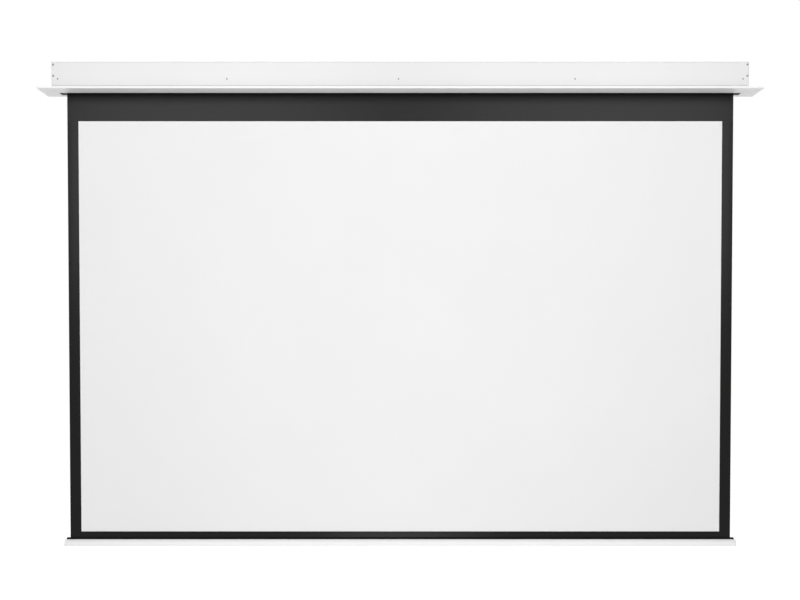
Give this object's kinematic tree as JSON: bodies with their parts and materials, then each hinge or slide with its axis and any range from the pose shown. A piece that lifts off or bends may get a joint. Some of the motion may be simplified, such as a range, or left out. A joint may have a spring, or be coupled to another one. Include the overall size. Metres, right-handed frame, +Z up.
{
  "type": "recessed projection screen",
  "caption": "Motorised projection screen recessed in a ceiling: white fabric with black surround lowers from a slot in a steel case with ceiling trim, held flat by a bottom bar.",
  "frame": {"origin": "middle of the case's top face, which hangs under the ceiling structure", "axes": "+X along the case, to the right as a viewer sees the image; -Y towards the viewer; +Z up"},
  "size_m": [3.2, 0.2, 2.16],
  "materials": {
    "case_paint": "satin white powder coat on sheet steel",
    "trim_paint": "satin white powder coat on aluminium",
    "bar_paint": "satin white powder coat on an aluminium extrusion",
    "cap_plastic": "white moulded plastic",
    "screw_zinc": "dark zinc-plated steel",
    "steel": "turned and drawn bright steel",
    "galvanised": "galvanised sheet steel",
    "aluminium": "extruded aluminium, as drawn",
    "motor_paint": "dark grey painted steel tube",
    "black_plastic": "black moulded plastic",
    "grey_plastic": "grey moulded plastic",
    "brass": "turned brass",
    "cable_sheath": "black PVC cable sheath",
    "fabric_black": "black coated screen fabric",
    "fabric_white": "matt white screen fabric"
  },
  "bodies": {
    "case": {"top_panel": "case_paint", "front_panel": "case_paint", "rear_panel": "case_paint", "end_plate_left": "case_paint", "end_plate_right": "case_paint", "trim_front": "trim_paint", "trim_rear": "trim_paint", "trim_left": "trim_paint", "trim_right": "trim_paint", "hanger_nut_1": "steel", "hanger_nut_2": "steel", "hanger_nut_3": "steel", "hanger_nut_4": "steel", "motor_bracket": "galvanised", "idler_bracket": "galvanised", "motor_tube": "motor_paint", "motor_head": "black_plastic", "idler_bush": "black_plastic", "power_inlet": "black_plastic", "motor_lead": "cable_sheath", "top_drop": "fabric_black", "border_left": "fabric_black", "border_right": "fabric_black", "projection_surface": "fabric_white", "front_screw_row_1": "screw_zinc", "front_screw_row_2": "screw_zinc", "front_screw_row_3": "screw_zinc", "front_screw_row_4": "screw_zinc", "front_screw_row_5": "screw_zinc", "front_screw_left_upper": "screw_zinc", "front_screw_left_lower": "screw_zinc", "front_screw_right_upper": "screw_zinc", "front_screw_right_lower": "screw_zinc", "rear_screw_row_1": "screw_zinc", "rear_screw_row_2": "screw_zinc", "rear_screw_row_3": "screw_zinc", "rear_screw_left_upper": "screw_zinc", "rear_screw_left_lower": "screw_zinc", "rear_screw_right_upper": "screw_zinc", "rear_screw_right_lower": "screw_zinc", "bracket_screw_left_front": "screw_zinc", "bracket_screw_left_rear": "screw_zinc", "bracket_screw_right_front": "screw_zinc", "bracket_screw_right_rear": "screw_zinc"},
    "screen_bar": {"bar_profile": "bar_paint", "bar_cap_left": "cap_plastic", "bar_cap_right": "cap_plastic", "fabric_clamp": "black_plastic", "hem_rod": "steel", "border_bottom": "fabric_black"},
    "roller": {"roller_tube": "aluminium", "fabric_keder": "grey_plastic", "wound_fabric": "fabric_black", "motor_crown": "grey_plastic", "drive_wheel": "grey_plastic", "output_shaft": "steel", "idler_plug": "grey_plastic", "idler_pin": "steel"},
    "limit_up": {"limit_screw_up": "brass"},
    "limit_down": {"limit_screw_down": "brass"}
  },
  "joints": [
    {"name": "screen_travel", "type": "slide", "parent": "case", "child": "screen_bar", "axis": [0, 0, 1], "range_m": [0, 2.039], "deforming": ["top_drop", "projection_surface", "border_left", "border_right"]},
    {"name": "roller_turn", "type": "hinge", "parent": "case", "child": "roller", "pos_m": [0, -0.00321, -0.051], "axis": [1, 0, 0], "range_deg": [0, 2835]},
    {"name": "limit_up_turn", "type": "hinge", "parent": "case", "child": "limit_up", "pos_m": [-1.5188, -0.01221, -0.08], "axis": [0, 0, 1], "continuous": true},
    {"name": "limit_down_turn", "type": "hinge", "parent": "case", "child": "limit_down", "pos_m": [-1.5188, 0.00579, -0.08], "axis": [0, 0, 1], "continuous": true}
  ],
  "couplings": [
    {"joint": "roller_turn", "follows": "screen_travel", "rad_per_m": 24.265}
  ]
}
